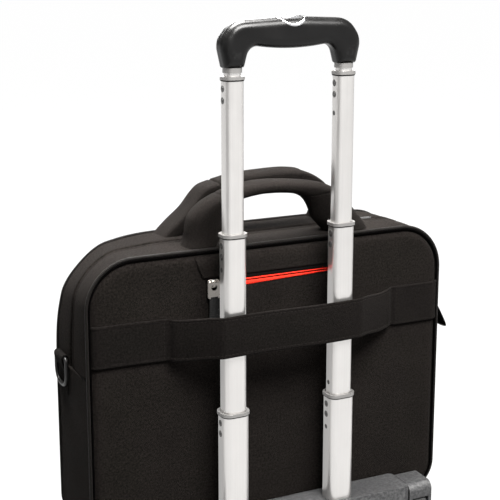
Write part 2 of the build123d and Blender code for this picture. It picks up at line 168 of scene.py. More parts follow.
def metal(name, colour, rough, scale, relief, spread=0.1, bare=1.0, stretch=(1, 1, 1)):
    """Metal with fine lines or smudges, stretched along the object's axes. bare is below 1 where
    the metal has a satin layer over it."""
    mat, tree, bsdf = shader(name, colour, rough, bare)
    place = node(tree, "ShaderNodeTexCoord").outputs["Object"]
    mapping = node(tree, "ShaderNodeMapping", Scale=stretch)
    tree.links.new(place, mapping.inputs["Vector"])
    lines = noise_at(tree, mapping.outputs["Vector"], scale)
    cloud = noise_at(tree, place, 22.0)
    both = calc(tree, "MULTIPLY_ADD", cloud, 0.5, calc(tree, "MULTIPLY", lines, 0.5))
    dressed(tree, bsdf, remap(tree, both, 0.35, 0.65, 0, 1), tuple(c * 0.93 for c in colour), colour,
            both, rough, spread, lines, relief)
    return mat


def moulded(name, colour, rough, grain=900.0, relief=0.00004, wear=0.05, **sockets):
    """Moulded plastic or rubber with a fine grain, cloudy gloss and lighter worn edges."""
    mat, tree, bsdf = shader(name, colour, rough, **sockets)
    place = node(tree, "ShaderNodeTexCoord").outputs["Object"]
    pebble = node(tree, "ShaderNodeTexVoronoi", Scale=grain)
    tree.links.new(place, pebble.inputs["Vector"])
    cloud = noise_at(tree, place, 35.0, 4.0)
    scuff = noise_at(tree, place, 260.0, 5.0, 0.7)
    edge = node(tree, "ShaderNodeNewGeometry").outputs["Pointiness"]
    worn = calc(tree, "MULTIPLY", remap(tree, edge, 0.5, 0.62, 0, 1), remap(tree, scuff, 0.42, 0.62, 0, 1))
    dressed(tree, bsdf, worn, colour, tuple(min(1, c + wear) for c in colour), cloud, rough, 0.07,
            calc(tree, "MULTIPLY_ADD", scuff, 0.3, pebble.outputs["Distance"]), relief)
    return mat


def paint(name, material):
    """A CAD node keeps its shape and gets this material."""
    obj = nodes[name]
    obj.data.materials.clear()
    obj.data.materials.append(material)


canvas = cloth("canvas", (0.0078, 0.0066, 0.0059), 0.0011, 0.00022)
canvas_light = cloth("gusset canvas", (0.0080, 0.0068, 0.0061), 0.0013, 0.0003, contrast=0.85)
band = cloth("strap cloth", (0.0058, 0.0050, 0.0046), 0.0011, 0.00022, contrast=0.5)
webbing = cloth("webbing", (0.0050, 0.0045, 0.0042), 0.0021, 0.0005, rib=True)
handle_cloth = cloth("handle cloth", (0.0078, 0.0067, 0.0061), 0.0009, 0.00012, contrast=0.4)
cord_cloth = cloth("piping cloth", (0.0050, 0.0044, 0.0040), 0.0009, 0.00012, contrast=0.3, gloss=0.05,
                   rough=0.45)
lining = cloth("lining", (0.055, 0.053, 0.055), 0.0015, 0.0002, contrast=0.25)
tape_cloth = cloth("zip tape", (0.0035, 0.0031, 0.0029), 0.0012, 0.0002, rib=True, contrast=0.3)
# Near-black cloth, much darker than the zip tape: painted shade, laid in the main zip's slit and in the
# grooves beside the piping.
painted_shade_cloth = cloth("painted shade cloth", (0.0010, 0.0009, 0.0009), 0.0012, 0.0002, rib=True, contrast=0.3,
                  sheen=0.0, gloss=0.0)
red_cloth = cloth("red zip tape", (0.74, 0.030, 0.016), 0.0012, 0.00022, rib=True, contrast=0.16, rough=0.7)
thread_cloth = cloth("thread", (0.016, 0.0138, 0.0125), 0.0006, 0.0001, contrast=0.2, rough=0.65)
tube_metal = metal("anodised tube", (0.66, 0.645, 0.63), 0.31, 900.0, 0.000012, 0.05, 0.94, (1, 1, 0.012))
collar_metal = metal("collar", (0.25, 0.244, 0.238), 0.40, 600.0, 0.00001, 0.05, 0.75)
steel = metal("plated steel", (0.16, 0.155, 0.15), 0.38, 700.0, 0.00002)
chrome = metal("chrome trim", (0.62, 0.62, 0.63), 0.16, 240.0, 0.000004, 0.05)
button_metal = metal("satin button", (0.78, 0.78, 0.79), 0.24, 60.0, 0.00001, 0.06, stretch=(1, 60, 1))
nickel = metal("satin nickel", (0.40, 0.375, 0.345), 0.30, 500.0, 0.00002)
gun_metal = metal("dark ring metal", (0.007, 0.0067, 0.0064), 0.46, 500.0, 0.00002, 0.08, 0.35)
# Near-black, darker than the other black plastic: partly the coil's own black, partly painted shade so the
# main zip's slit reads black. The bands under the tubes' collars use it as painted shade.
coil_and_shade_black = moulded("zip coil", (0.0010, 0.0010, 0.0010), 0.5, 1500.0, 0.00002, 0.0006,
                       Specular_IOR_Level=0.01)
black_plastic = moulded("black plastic", (0.012, 0.012, 0.012), 0.5, 1300.0)
grip_plastic = moulded("grip plastic", (0.0022, 0.0021, 0.0021), 0.30, 2200.0, 0.000012, 0.004,
                       Specular_IOR_Level=0.22)
base_plastic = moulded("base plastic", (0.016, 0.016, 0.017), 0.55, 1100.0, 0.00007)
hub_plastic = moulded("hub plastic", (0.09, 0.09, 0.095), 0.45, 1400.0)
tyre_rubber = moulded("tyre rubber", (0.014, 0.014, 0.014), 0.75, 800.0, 0.00008, 0.03)
soft_rubber = moulded("soft rubber", (0.007, 0.007, 0.007), 0.7, 1000.0, 0.00006, 0.012,
                      Specular_IOR_Level=0.2)


# ---------------------------------------------------------------- the case's measures
BACK_Y, FRONT_Y = low("back_panel")[1], high("front_panel")[1]
HALF, _, TOP = high("gusset_rear")
BOTTOM = low("gusset_base")[2]
_, ZIP_BACK, ZIP_END = low("main_zip")
ZIP_FRONT = high("main_zip")[1]
ZIP_MID = (ZIP_BACK + ZIP_FRONT) / 2
TOP_R, BOTTOM_R = 0.052, 0.034
PIPE = (high("back_piping")[1] - low("back_piping")[1]) / 2
CORD = 0.0019           # radius of the piping
SLIT = 0.0058           # between the lips of the main zip
LIP_SEAM = 0.0062       # from a lip's edge to its stitches
# Each top corner's side, and how far it slumps at the front. SLUMP_IN is how far in from the
# corner a slump has its middle, and the last two are its direction.
SLUMPS = ((-1, 0.0185), (1, 0.003))
SLUMP_REACH, SLUMP_IN = 0.055, 0.014
SLUMP_SIDEWAYS, SLUMP_DOWN = 0.72, 0.69


# ---------------------------------------------------------------- mesh helpers
def smooth(t):
    """0 to 1 with soft ends."""
    t = np.clip(t, 0, 1)
    return t * t * (3 - 2 * t)


def bell(d, middle, width):
    return np.exp(-((d - middle) / width) ** 2)


def unit(vectors):
    return vectors / np.linalg.norm(vectors, axis=-1, keepdims=True)


def lengths(points):
    """How far along its line each point is."""
    steps = np.linalg.norm(np.diff(points, axis=0), axis=-1)
    return np.concatenate([np.zeros_like(steps[:1]), np.cumsum(steps, axis=0)])


def sampled(spots, s, points):
    """Points at the lengths spots along a line whose points are at the lengths s."""
    return np.stack([np.interp(spots, s, column) for column in points.T], -1)


def around(count):
    """Angles evenly round a circle."""
    return np.linspace(0, 2 * math.pi, count + 1)[:-1]


def at_y(flat, y):
    """Points (x, z) as (x, y, z)."""
    return np.stack([flat[..., 0], np.broadcast_to(y, flat.shape[:-1]), flat[..., 1]], -1)


def soft(points, size, amount, seed=0.0):
    """Low waves in a surface: a smooth number for each point, of about amount either way."""
    return np.array([noise.noise(Vector(p) / size + Vector((seed, seed, seed))) for p in points]) * amount


def settled(verts):
    """The soft case's points, drawn in where its top corners slump, more at the front."""
    deep = np.clip((verts[:, 1] - BACK_Y) / (FRONT_Y - BACK_Y), 0, 1)
    made = verts.copy()
    for sign, amount in SLUMPS:
        away = np.hypot(verts[:, 0] - sign * (HALF - SLUMP_IN), verts[:, 2] - (TOP - SLUMP_IN))
        pull = amount * deep * bell(away, 0, SLUMP_REACH)
        made[:, 0] -= sign * SLUMP_SIDEWAYS * pull
        made[:, 2] -= SLUMP_DOWN * pull
    return made


def piece(name, verts, faces, material, body, replaces=(), uvs=None):
    """A mesh piece that rides on a body, or on none yet. uvs gives one (u, v) in metres for
    each vertex."""
    mesh = bpy.data.meshes.new(name)
    if body == "case":
        verts = settled(np.asarray(verts, float))
    mesh.from_pydata([tuple(map(float, v)) for v in verts], [], faces)
    mesh.validate()
    if uvs is not None:
        layer = mesh.uv_layers.new(name="cloth")
        index = np.zeros(len(mesh.loops), dtype=int)
        mesh.loops.foreach_get("vertex_index", index)
        layer.data.foreach_set("uv", np.asarray(uvs, float)[index].ravel())
    mesh.polygons.foreach_set("use_smooth", [True] * len(mesh.polygons))
    mesh.materials.append(material)
    work = bmesh.new()
    work.from_mesh(mesh)
    bmesh.ops.recalc_face_normals(work, faces=work.faces)
    work.to_mesh(mesh)
    work.free()
    obj = bpy.data.objects.new(name, mesh)
    scene.collection.objects.link(obj)
    if replaces:
        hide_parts(*replaces)
    if body:
        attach(obj, body)
    return obj


def loop_faces(rows, columns, close_rows, close_columns):
    """Quads over a grid of rows by columns, numbered row by row."""
    faces = []
    for i in range(rows if close_rows else rows - 1):
        for j in range(columns if close_columns else columns - 1):
            a, b = i % rows, (i + 1) % rows
            c, d = j % columns, (j + 1) % columns
            faces.append((a * columns + c, b * columns + c, b * columns + d, a * columns + d))
    return faces


def add_tube(verts, faces, rings, closed=False):
    """Adds a tube through rings of points to lists of vertices and faces. Its ends are joined
    to each other if it is closed, and capped if not."""
    base, rows, columns = len(verts), len(rings), len(rings[0])
    made = loop_faces(rows, columns, closed, True)
    if not closed:
        made += [tuple(range(columns))[::-1], tuple(range((rows - 1) * columns, rows * columns))]
    faces += [tuple(base + i for i in face) for face in made]
    verts += [point for ring in rings for point in ring]


def lofted(name, rings, material, body, replaces=(), closed=False, uvs=None):
    """A piece through rings of equal numbers of points."""
    rings = np.asarray(rings, float)
    verts, faces = [], []
    add_tube(verts, faces, rings, closed)
    if uvs is None:
        along = np.repeat(lengths(rings.mean(axis=1))[:, None], rings.shape[1], 1)
        uvs = np.stack([along, lengths(rings.swapaxes(0, 1)).T], axis=2)
    return piece(name, verts, faces, material, body, replaces, uvs.reshape(-1, 2))


def thread_line(verts, faces, points, out, stitch=0.0030, gap=0.0013, width=0.00055, rise=0.00012):
    """Adds stitches along a line of points, each lying on the surface whose normals are out."""
    points = np.asarray(points, float)
    out = np.broadcast_to(np.asarray(out, float), points.shape)
    s = lengths(points)
    start = 0.4 * gap
    while start + stitch < s[-1]:
        spots = start + stitch * np.array([0, 0.22, 0.5, 0.78, 1])
        centre, normal = sampled(spots, s, points), unit(sampled(spots, s, out))
        run = unit(centre[-1] - centre[0])
        rings = []
        for c, n, fat in zip(centre, normal, (0.25, 0.85, 1.0, 0.85, 0.25)):
            side = np.cross(run, n)
            c = c + n * (rise + width * (0.5 * fat - 0.35))
            rings.append([c + (side * math.cos(a) + 0.8 * n * math.sin(a)) * width * 0.5 * fat
                          for a in around(6)])
        add_tube(verts, faces, rings)
        start += stitch + gap


def sewn(name, lines, body, slot="black_fabric", **size):
    """One piece that holds all the stitches of several lines."""
    verts, faces = [], []
    for points, out in lines:
        thread_line(verts, faces, points, out, **size)
    return piece(name, verts, faces, thread_cloth, body, uvs=np.array(verts)[:, [0, 2]])


# ---------------------------------------------------------------- the case's outline
def outline_at(s):
    """Point and outward normal (x, z) at arc lengths s round the case, from the bottom middle
    towards +x and over the top."""
    quarter = math.pi / 2
    top_x, low_x, top_z, low_z = HALF - TOP_R, HALF - BOTTOM_R, TOP - TOP_R, BOTTOM + BOTTOM_R
    # A line has its start, direction and length, and an arc its centre, first angle and radius.
    parts = [
        ("line", (0, BOTTOM), (1, 0), low_x), ("arc", (low_x, low_z), -quarter, BOTTOM_R),
        ("line", (HALF, low_z), (0, 1), top_z - low_z), ("arc", (top_x, top_z), 0, TOP_R),
        ("line", (top_x, TOP), (-1, 0), 2 * top_x), ("arc", (-top_x, top_z), quarter, TOP_R),
        ("line", (-HALF, top_z), (0, -1), top_z - low_z), ("arc", (-low_x, low_z), 2 * quarter, BOTTOM_R),
        ("line", (-low_x, BOTTOM), (1, 0), low_x),
    ]
    s = np.atleast_1d(np.asarray(s, float))
    point, normal = np.zeros((len(s), 2)), np.zeros((len(s), 2))
    start = 0.0
    for kind, a, b, c in parts:
        size = c if kind == "line" else c * quarter
        here = (s >= start - 1e-9) & (s <= start + size + 1e-9)
        t = s[here] - start
        if kind == "line":
            point[here] = np.array(a) + t[:, None] * np.array(b)
            normal[here] = (b[1], -b[0])
        else:
            angle = b + t / c
            normal[here] = np.stack([np.cos(angle), np.sin(angle)], 1)
            point[here] = np.array(a) + c * normal[here]
        start += size
    return point, normal, start


LENGTH = outline_at([0])[2]
SIDE_S = HALF - BOTTOM_R + BOTTOM_R * math.pi / 2
ZIP_S = SIDE_S + ZIP_END - BOTTOM - BOTTOM_R


def fullness(s, y):
    """How far the stuffed case stands out between its two rims, a little more at one side."""
    deep = np.sin(math.pi * np.clip((y - BACK_Y) / (FRONT_Y - BACK_Y), 0, 1))
    return deep * (0.0010 + 0.0006 * np.sin(5.0 * s))


def swept(name, s, profile, material, replaces=(), closed=False, waves=0.0):
    """A closed section, given as (y, outwards) points, carried along the outline at s. waves is
    how much its outer side swells and sinks."""
    point, normal, _ = outline_at(s)
    rings = np.stack([at_y(point + normal * (out + fullness(s, y))[:, None], y) for y, out in profile], 1)
    if waves:
        lift = soft(rings.reshape(-1, 3), 0.05, waves, 3.7).reshape(len(s), -1)
        outer = np.clip((np.array(profile)[:, 1] + 0.0015) / 0.001, 0, 1)
        rings += at_y(normal, 0)[:, None, :] * (lift * outer[None, :])[:, :, None]
    return lofted(name, rings, material, "case", replaces, closed)


# ---------------------------------------------------------------- gussets, zip and piping
def gusset_profile(start, end, lip_start, lip_end, crown):
    """Outer face from start to end in y, sunk at a sewn end or rolled over at a lip."""
    t = np.linspace(0, 1, int((end - start) / 0.0010))
    y = start + (end - start) * t
    out = crown * np.sin(np.pi * t) ** 0.7
    for d, lip in ((y - start, lip_start), (end - y, lip_end)):
        if lip:
            out += 0.0011 * bell(d, 0.0024, 0.0015) - 0.0010 * bell(d, 0, 0.0008)
            out -= 0.00035 * bell(d, LIP_SEAM, 0.0009)
        else:
            out -= 0.0026 * bell(d, 0, 0.0022)
    return [*zip(y, out), *[(y, -0.0042) for y in np.linspace(end - 0.0003, start + 0.0003, 5)]]


REAR_START, REAR_END = BACK_Y + PIPE - 0.0004, ZIP_MID - SLIT / 2
FRONT_START, FRONT_END = ZIP_MID + SLIT / 2, FRONT_Y - PIPE + 0.0004
upper = np.linspace(ZIP_S, LENGTH - ZIP_S, 260)
lower = np.concatenate([np.linspace(LENGTH - ZIP_S, LENGTH, 110)[:-1], np.linspace(0, ZIP_S, 110)])
for word, s, ends, lips, crown, waves in (
    ("rear", upper, (REAR_START, REAR_END), (False, True), 0.0014, 0.0009),
    ("front", upper, (FRONT_START, FRONT_END), (True, False), 0.0008, 0.0006),
    ("base", lower, (REAR_START, FRONT_END), (False, False), 0.0016, 0.0010),
):
    swept(f"gusset_{word}_cloth", s, gusset_profile(*ends, *lips, crown), canvas_light, [f"gusset_{word}"],
          waves=waves)

# The main zip's tape, deep in the slit between the lips, is near-black painted shade cloth so the slit reads
# as shade.
zip_profile = [(ZIP_BACK - 0.001, -0.0014), (ZIP_MID, -0.0009), (ZIP_FRONT + 0.001, -0.0014),
               (ZIP_FRONT + 0.001, -0.0024), (ZIP_BACK - 0.001, -0.0024)]
swept("main_zip_tape", upper[1:-1], zip_profile, painted_shade_cloth, ["main_zip"])

# One link of a zip's coil: its section, in pitches, and how far across it is and how big there
LINK = ((-0.42, -0.3), (0.42, -0.3), (0.42, 0.35), (0, 0.62), (-0.42, 0.35))
LINK_STEPS = ((-1, 0.35), (-0.75, 0.8), (0.75, 0.8), (1, 0.35))


def coil(name, points, across, out, width, pitch):
    """A zip's coil: small rounded links side by side along a line."""
    verts, faces = [], []
    s = lengths(points)
    across, out = (np.broadcast_to(np.asarray(a, float), points.shape) for a in (across, out))
    for start in np.arange(pitch, s[-1] - pitch, pitch):
        c, w, n = (sampled(start, s, a) for a in (points, across, out))
        run = np.cross(w, n)
        add_tube(verts, faces, [[c + w * a * width / 2 + run * dx * pitch * r + n * dy * pitch * r
                                 for dx, dy in LINK] for a, r in LINK_STEPS])
    return piece(name, verts, faces, coil_and_shade_black, "case", uvs=np.array(verts)[:, [0, 2]])


point, normal, _ = outline_at(upper)
sunk = (fullness(upper, ZIP_MID) - 0.0008)[:, None]
coil("main_zip_coil", at_y(point + normal * sunk, ZIP_MID), (0, 1, 0), at_y(normal, 0), 0.0042, 0.0013)

# The piping's cord, and near-black strips of painted shadow in the grooves of its seams, given as (into the
# gusset, outwards)
PIPING_SHADE_STRIPS = (("outer", ((0.0014, -0.0001), (0.0030, 0.0002), (0.0030, -0.0014), (0.0014, -0.0014))),
         ("inner", ((-0.0021, -0.0016), (-0.0021, -0.0036), (-0.0006, -0.0036), (-0.0006, -0.0016))))
round_trip = np.linspace(0, LENGTH, 421)[:-1]
for side, y, into in (("back", BACK_Y + PIPE, 1), ("front", FRONT_Y - PIPE, -1)):
    ring = [(y + CORD * math.sin(a), CORD * math.cos(a)) for a in around(16)]
    swept(f"{side}_piping_cord", round_trip, ring, cord_cloth, [f"{side}_piping"], closed=True)
    for word, section in PIPING_SHADE_STRIPS:
        # Near-black strips: painted shadow in the grooves either side of the cord.
        swept(f"{side}_piping_{word}_seam", round_trip, [(y + into * a, out) for a, out in section],
              painted_shade_cloth, (), closed=True)


# ---------------------------------------------------------------- padded panels

def inside(shape, x, z):
    """How far a point is inside a rectangle with rounded corners: (half width, low z, high z,
    top radius, bottom radius)."""
    half, z0, z1, top_r, bottom_r = shape
    middle, tall = (z0 + z1) / 2, (z1 - z0) / 2
    r = np.where(z > middle, top_r, bottom_r)
    qx, qz = np.abs(x) - (half - r), np.abs(z - middle) - (tall - r)
    return r - np.hypot(np.maximum(qx, 0), np.maximum(qz, 0)) - np.minimum(np.maximum(qx, qz), 0)


def pad(name, shape, near, far, material, node_name, step=0.0032):
    """A padded panel: near and far give y for arrays of x and z, and share their rim."""
    half, z0, z1, top_r, bottom_r = shape
    turn = np.linspace(0, math.pi / 2, 13)
    rows = np.concatenate([
        z0 + bottom_r * (1 - np.cos(turn)),
        np.linspace(z0 + bottom_r, z1 - top_r, max(4, int((z1 - z0 - top_r - bottom_r) / step)))[1:-1],
        z1 - top_r + top_r * np.sin(turn),
    ])
    wide = np.full(len(rows), half)
    for corner, into in ((bottom_r, z0 + bottom_r - rows), (top_r, rows - z1 + top_r)):
        here = into > 0
        fall = np.clip(into, 0, corner)[here]
        wide[here] = half - corner + np.sqrt(np.maximum(corner**2 - fall**2, 0))
    t = np.linspace(-1, 1, int(2 * half / step))
    t = 0.55 * t + 0.45 * np.sin(t * math.pi / 2)
    x = wide[:, None] * t[None, :]
    z = np.repeat(rows[:, None], len(t), 1)
    verts = np.concatenate([np.stack([x, face(x, z), z], 2).reshape(-1, 3) for face in (near, far)])
    r, c = x.shape
    faces = loop_faces(r, c, False, False)
    shift = r * c
    faces += [tuple(shift + i for i in f[::-1]) for f in faces]
    rim = [*range(c), *[i * c + c - 1 for i in range(1, r)],
           *[(r - 1) * c + j for j in range(c - 2, -1, -1)], *[i * c for i in range(r - 2, 0, -1)]]
    for a, b in zip(rim, rim[1:] + rim[:1]):
        faces.append((a, b, shift + b, shift + a))
    obj = piece(name, verts, faces, material, "case", [node_name], verts[:, [0, 2]])


def wrinkles(x, z, y, size, amount, seed):
    flat = np.stack([x, np.full_like(x, y), z], -1).reshape(-1, 3)
    return soft(flat, size, amount, seed).reshape(x.shape)


TUCK = 0.0014
PANEL = (HALF - TUCK, BOTTOM + TUCK, TOP - TUCK, TOP_R - TUCK, BOTTOM_R - TUCK)
PANEL_DEEP = 0.0055


def rim_dip(d):
    """How much nearer the middle a panel's face is, along the piping and just inside it."""
    return 0.0042 * bell(d, 0.0012, 0.0034), 0.0009 * smooth(d / 0.014)


def back_face(x, z):
    """The y of the case's back, which is sunk along the piping and slightly full elsewhere."""
    x, z = np.asarray(x, float), np.asarray(z, float)
    d = inside(PANEL, x, z)
    dip, swell = rim_dip(d)
    y = BACK_Y + dip
    y -= swell + 0.0016 * smooth((d - 0.02) / 0.10)
    y -= wrinkles(x, z, 0, 0.085, 0.0007, 1.3) * smooth(d / 0.02)
    y -= wrinkles(x, z, 0, 0.03, 0.00025, 4.1) * smooth(d / 0.02)
    return y


def front_face(x, z):
    d = inside(PANEL, x, z)
    dip, swell = rim_dip(d)
    return FRONT_Y - dip + swell + wrinkles(x, z, 1, 0.09, 0.0005, 7.7) * smooth(d / 0.02)


pad("back_panel_cloth", PANEL, back_face, lambda x, z: np.full_like(x, BACK_Y + PANEL_DEEP),
    canvas, "back_panel")
pad("front_panel_cloth", PANEL, front_face, lambda x, z: np.full_like(x, FRONT_Y - PANEL_DEEP),
    canvas, "front_panel")

# The divider is a quilted pad.
div_low, div_high = low("laptop_divider"), high("laptop_divider")
DIVIDER = (div_high[0], div_low[2], div_high[2], BOTTOM_R, BOTTOM_R)
div_mid, div_half = (div_low[1] + div_high[1]) / 2, (div_high[1] - div_low[1]) / 2
QUILT = 0.06


def quilt(x, z):
    d = inside(DIVIDER, x, z)
    channel = np.minimum(*(np.abs((a + QUILT / 2) % QUILT - QUILT / 2) for a in (x, z)))
    return div_half * (0.35 + 0.65 * smooth(d / 0.012)) * (0.72 + 0.28 * smooth(channel / 0.012))


pad("laptop_divider_pad", DIVIDER, lambda x, z: div_mid - quilt(x, z), lambda x, z: div_mid + quilt(x, z),
    lining, "laptop_divider", step=0.005)

# The front pocket is full in the middle, with a zip across its top.
poc_low, poc_high = low("front_pocket"), high("front_pocket")
POCKET = (poc_high[0], poc_low[2], poc_high[2], 0.028, 0.028)
POCKET_DEEP = poc_high[1] - FRONT_Y
POCKET_ZIP = poc_high[2] - 0.026


def pocket_face(x, z):
    x, z = np.asarray(x, float), np.asarray(z, float)
    d = inside(POCKET, x, z)
    rise = 0.70 * smooth(d / 0.013) ** 0.6 + 0.12 * smooth(d / 0.03) + 0.18 * smooth((d - 0.01) / 0.09)
    sag = 0.0016 * smooth((0.5 * (poc_low[2] + poc_high[2]) - z) / 0.1)
    groove = 0.0016 * bell(z, POCKET_ZIP, 0.0022) * smooth((d - 0.012) / 0.01)
    seam = 0.0008 * bell(d, 0.015, 0.0012)
    folds = (wrinkles(x, z, 2, 0.06, 0.0012, 9.2) - sag) * smooth(d / 0.03)
    return FRONT_Y + POCKET_DEEP * rise - groove - seam + folds - 0.0010


pad("front_pocket_cloth", POCKET, pocket_face, lambda x, z: FRONT_Y + 0 * x + 0.0005,
    canvas, "front_pocket", step=0.003)

xs = np.linspace(-poc_high[0] + 0.03, poc_high[0] - 0.03, 120)
zs = np.full_like(xs, POCKET_ZIP)
coil("pocket_zip_coil", np.stack([xs, pocket_face(xs, zs) + 0.0003, zs], 1), (0, 0, 1), (0, 1, 0),
     0.0042, 0.0015)

# A rolled cord goes round the pocket's rim.
RIM_IN, RIM_CORD = 0.0012, 0.0014


def corner_arcs(half_x, half_z, r, count):
    """Points and outward normals round a rectangle with rounded corners about the origin."""
    angle = np.radians(np.concatenate([np.linspace(b, b + 90, count) for b in (-90, 0, 90, 180)]))
    out = np.stack([np.cos(angle), np.sin(angle)], 1)
    middle = np.repeat([(1, -1), (1, 1), (-1, 1), (-1, -1)], count, 0) * (half_x - r, half_z - r)
    return middle + r * out, out


half, z0, z1, rim_r, _ = POCKET
rim, rim_out = corner_arcs(half - RIM_IN, (z1 - z0) / 2 - RIM_IN, rim_r - RIM_IN, 12)
rim += (0, (z0 + z1) / 2)
rings = np.stack([at_y(rim + rim_out * RIM_CORD * math.cos(a), FRONT_Y + 0.0016 + RIM_CORD * math.sin(a))
                  for a in around(8)], 1)
lofted("pocket_rim_cord", rings, cord_cloth, "case", closed=True)


# ---------------------------------------------------------------- the back's zip and yoke
def from_top(millimetres):
    """A height given in mm from the case's top, 4 mm lower for the rear zip."""
    return TOP + (millimetres - 4.0 * float(smooth(-millimetres / 20.0))) * MM


def across_back(name, section, x0, x1, material, replaces=(), slant=0.0, ease=0.0):
    """A strip along x on the back. section gives (z in mm from the top, mm proud of the back);
    slant moves the ends outwards with height, and ease thins the +x end."""
    section = np.asarray(section, float)
    bottom, top = section[:, 0].min(), section[:, 0].max()
    rings = []
    for t in np.linspace(0, 1, 120):
        ring = []
        for z, proud in section:
            x = (x0 + (x1 - x0) * t) * (1 + slant * (z - bottom))
            if ease:
                z = top + (z - top) * (1 - ease * t)
            zz = from_top(z)
            ring.append((x, float(back_face(x, zz)) - proud * MM, zz))
        rings.append(ring)
    return lofted(name, rings, material, "case", replaces)


YOKE_HALF = 0.087
across_back("back_yoke", [(-4.0, -0.4), (-4.6, 0.35), (-7, 0.8), (-13, 1.3), (-19, 1.7), (-22.4, 1.6),
                          (-23.6, 1.9), (-24.8, 1.9), (-25.8, 1.5), (-26.0, 0.7), (-25, -0.3), (-14, -0.5)],
            -YOKE_HALF, YOKE_HALF, canvas, slant=0.0055)
across_back("back_zip_upper_tape", [(-25.0, -0.3), (-25.2, 0.35), (-28, 0.45), (-31.2, 0.5), (-31.4, -0.3)],
            -0.084, 0.084, tape_cloth)
across_back("back_zip_red_edge", [(-31.0, -0.4), (-31.0, 0.7), (-31.3, 1.1), (-31.9, 1.25), (-32.5, 1.1),
                                  (-32.8, 0.6), (-32.7, -0.4)],
            -0.066, 0.084, red_cloth, ["rear_zip"], ease=0.30)
across_back("back_zip_red_lining", [(-33.7, -0.4), (-33.7, 0.45), (-35, 0.85), (-37, 1.0), (-38.7, 0.7),
                                    (-39.6, 0.1), (-39.6, -0.5)],
            -0.062, 0.070, red_cloth, ease=0.82)
xs = np.linspace(-0.082, 0.084, 90)
zs = from_top(-33.25) + 0.0005 * smooth((xs + 0.03) / 0.1)
coil("back_zip_coil", np.stack([xs, back_face(xs, zs) - 0.0004, zs], 1), (0, 0, 1), (0, -1, 0),
     0.0011, 0.0012)


# ---------------------------------------------------------------- trolley strap
STRAP_LOW = low("trolley_strap")[2]
STRAP_WIDE = high("trolley_strap")[2] - STRAP_LOW
STRAP_Y = low("trolley_strap")[1] + 0.0018
STRAP_END = HALF - 0.0042


def rounded_line(corners, radii, step):
    """Points along a flat line of straight runs joined by arcs."""
    corners = [np.array(c, float) for c in corners]
    made = [corners[0]]
    for a, b, c, r in zip(corners, corners[1:], corners[2:], radii):
        u, v = unit(a - b), unit(c - b)
        half = math.acos(np.clip(u @ v, -1, 1)) / 2
        reach = r / math.tan(half)
        centre = b + unit(u + v) * r / math.sin(half)
        p, q = b + u * reach - centre, b + v * reach - centre
        sweep = math.atan2(p[0] * q[1] - p[1] * q[0], p @ q)
        for m in np.linspace(0, sweep, 9):
            cos, sin = math.cos(m), math.sin(m)
            made.append(centre + np.array([p[0] * cos - p[1] * sin, p[0] * sin + p[1] * cos]))
    made = np.array([*made, corners[-1]])
    s = lengths(made)
    return sampled(np.linspace(0, s[-1], int(s[-1] / step)), s, made)


strap_line = rounded_line(
    [(-STRAP_END, BACK_Y - 0.003), (-0.133, BACK_Y - 0.004), (-0.0835, STRAP_Y), (0.0835, STRAP_Y),
     (0.149, BACK_Y - 0.004), (STRAP_END, BACK_Y - 0.003)], [0.012, 0.006, 0.006, 0.012], 0.0024)


def strap_point(x, y, v):
    """A point on the strap's middle surface; v runs from its lower edge 0 to its upper edge 1."""
    drop = 0.0065 * smooth((abs(x) - 0.083) / 0.045) + 0.0006 * math.sin(x * 41)
    z = STRAP_LOW + STRAP_WIDE * v - drop * (1 - 0.15 * v)
    hug = smooth((abs(x) - (0.124 if x < 0 else 0.140)) / 0.010)
    flat = float(back_face(x, z)) - 0.0016
    lean = 0.0012 * math.sin(math.pi * v) * (1 - hug)
    return np.array([x, y * (1 - hug) + flat * hug - lean, z])


def strap_surface(v_values):
    """Points and outward normals along the strap, at each v."""
    grid = np.array([[strap_point(x, y, v) for v in v_values] for x, y in strap_line])
    out = unit(np.cross(np.gradient(grid, axis=0), np.gradient(grid, axis=1)))
    out[out[:, :, 1] > 0] *= -1
    return grid, out


HEM = 0.083             # where along v the hems are sewn
v_values = np.concatenate([[0, 0.02, 0.05, 0.075, 0.10], np.linspace(0.14, 0.86, 10),
                           [0.90, 0.925, 0.95, 0.98, 1.0]])
grid, out = strap_surface(v_values)
edge = np.minimum(v_values, 1 - v_values)
thick = 0.0007 + 0.00045 * bell(edge, 0.035, 0.03) - 0.00045 * bell(edge, 0, 0.012)
thick -= 0.00035 * bell(edge, HEM, 0.012)
# Each end is a second layer sewn over the strap, so it stands proud of it.
strap_x = strap_line[:, 0]
step_up = 0.0009 * (smooth((-0.1290 - strap_x) / 0.0024) + smooth((strap_x - 0.1500) / 0.0024))
for seam_x in (-0.1272, 0.1482):
    step_up -= 0.0007 * bell(strap_x, seam_x, 0.0016)
front = grid + out * (thick[None, :] + step_up[:, None])[:, :, None]
back = grid - out * thick[None, :, None]
length, wide = lengths(strap_line), v_values * STRAP_WIDE
cloth_uv = np.stack([np.repeat(length[:, None], 2 * len(wide), 1),
                     np.tile(np.concatenate([wide, wide[::-1]]), (len(length), 1))], 2)
strap = lofted("strap_cloth", np.concatenate([front, back[:, ::-1]], axis=1), band, "case",
               ["trolley_strap"], uvs=cloth_uv)

strap_lines = []
for v in (HEM, 1 - HEM):
    grid, out = strap_surface(np.array([v - 0.01, v, v + 0.01]))
    strap_lines.append((grid[:, 1] + out[:, 1] * 0.0005, out[:, 1]))
grid, out = strap_surface(np.linspace(0.03, 0.97, 40))
for seam_x in (-0.1335, 0.1545):
    column = int(np.argmin(np.abs(strap_x - seam_x)))
    points = grid[column] + out[column] * 0.0015
    points[:, 0] = seam_x
    strap_lines.append((points, out[column]))
sewn("strap_stitches", strap_lines, "case", "webbing")


